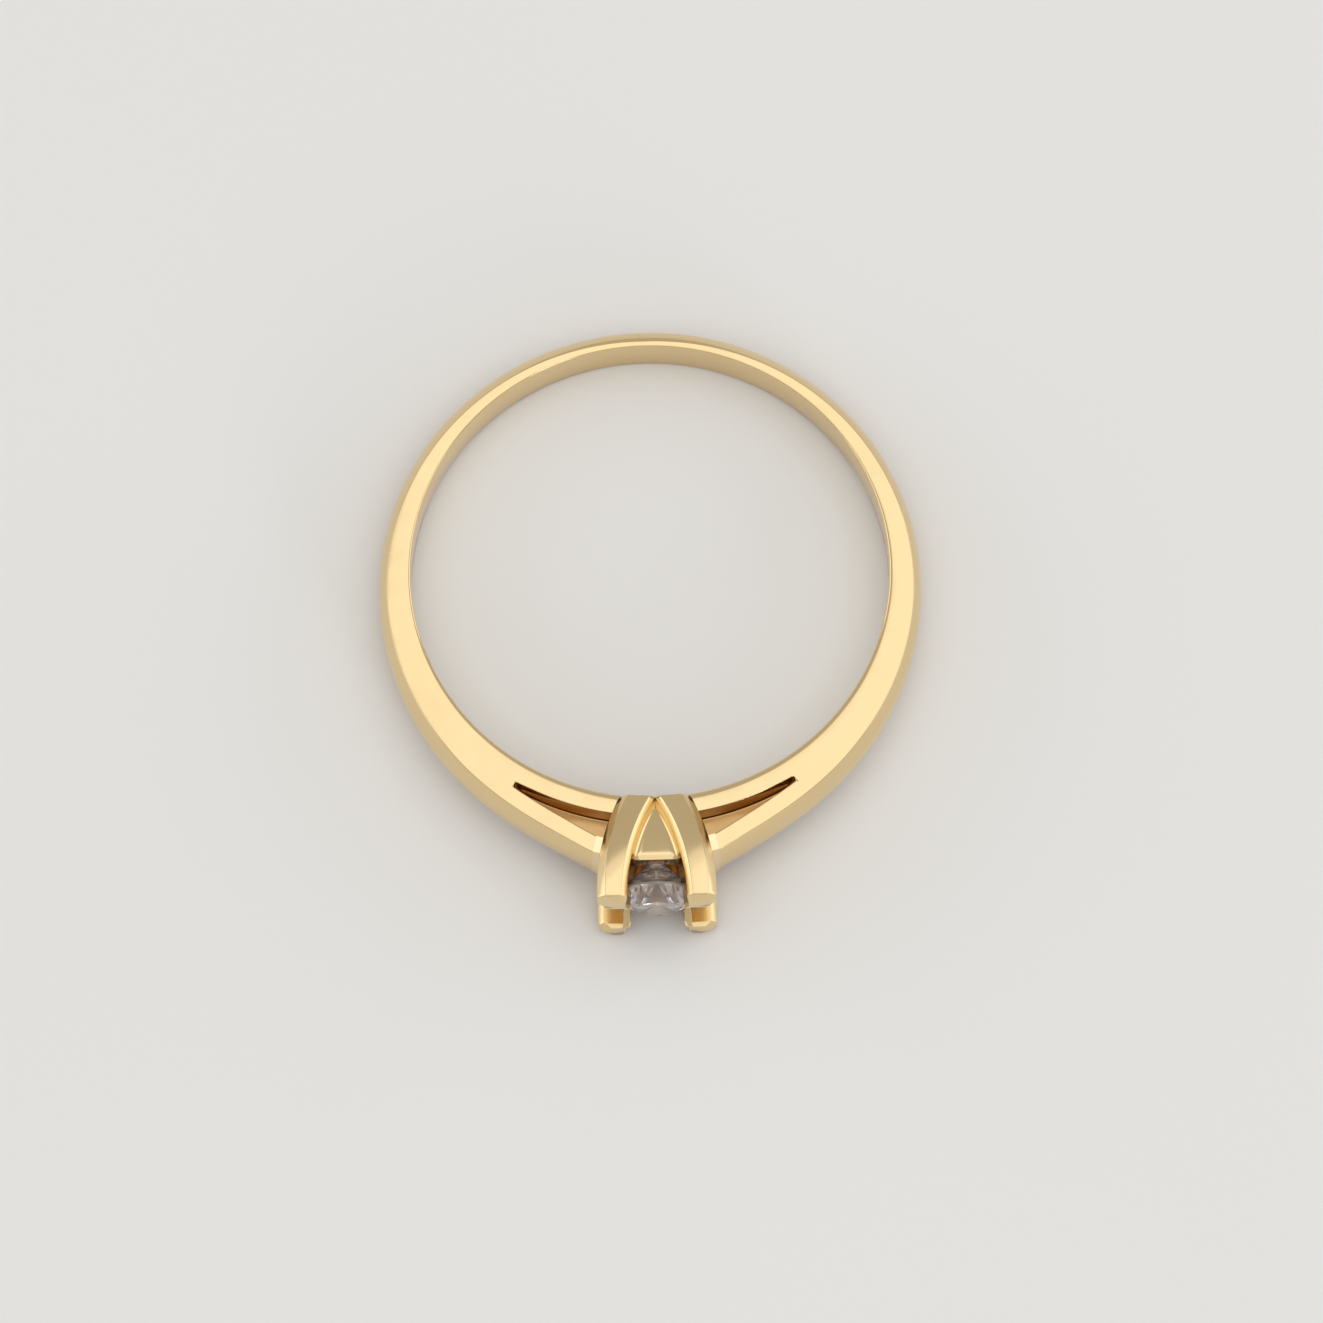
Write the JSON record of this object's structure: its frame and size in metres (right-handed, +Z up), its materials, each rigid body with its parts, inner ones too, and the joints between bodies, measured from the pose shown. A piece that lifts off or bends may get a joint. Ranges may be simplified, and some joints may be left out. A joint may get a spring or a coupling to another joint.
{
  "type": "engagement ring",
  "caption": "Slim yellow-gold solitaire ring: tapering domed band with split shoulders and a square open head whose corner claws hold a small round brilliant stone.",
  "frame": {"origin": "centre of the finger hole, half way along the band's width", "axes": "+Z along the finger, so the ring lies on its side when +Z is up; the head and stone point to -Y, the thin back of the band is at +Y, +X is to the right seen from +Z with the head towards the viewer"},
  "size_m": [0.0196, 0.0223, 0.0042],
  "materials": {
    "gold": "polished yellow gold, 18 carat",
    "solder": "polished gold solder, slightly paler than the gold",
    "stone": "clear faceted gemstone"
  },
  "bodies": {
    "root": {"shank": "gold", "collet": "gold", "claw_upper_right": "gold", "claw_upper_left": "gold", "claw_lower_right": "gold", "claw_lower_left": "gold", "solder_right": "solder", "solder_left": "solder", "stone": "stone"}
  },
  "joints": []
}
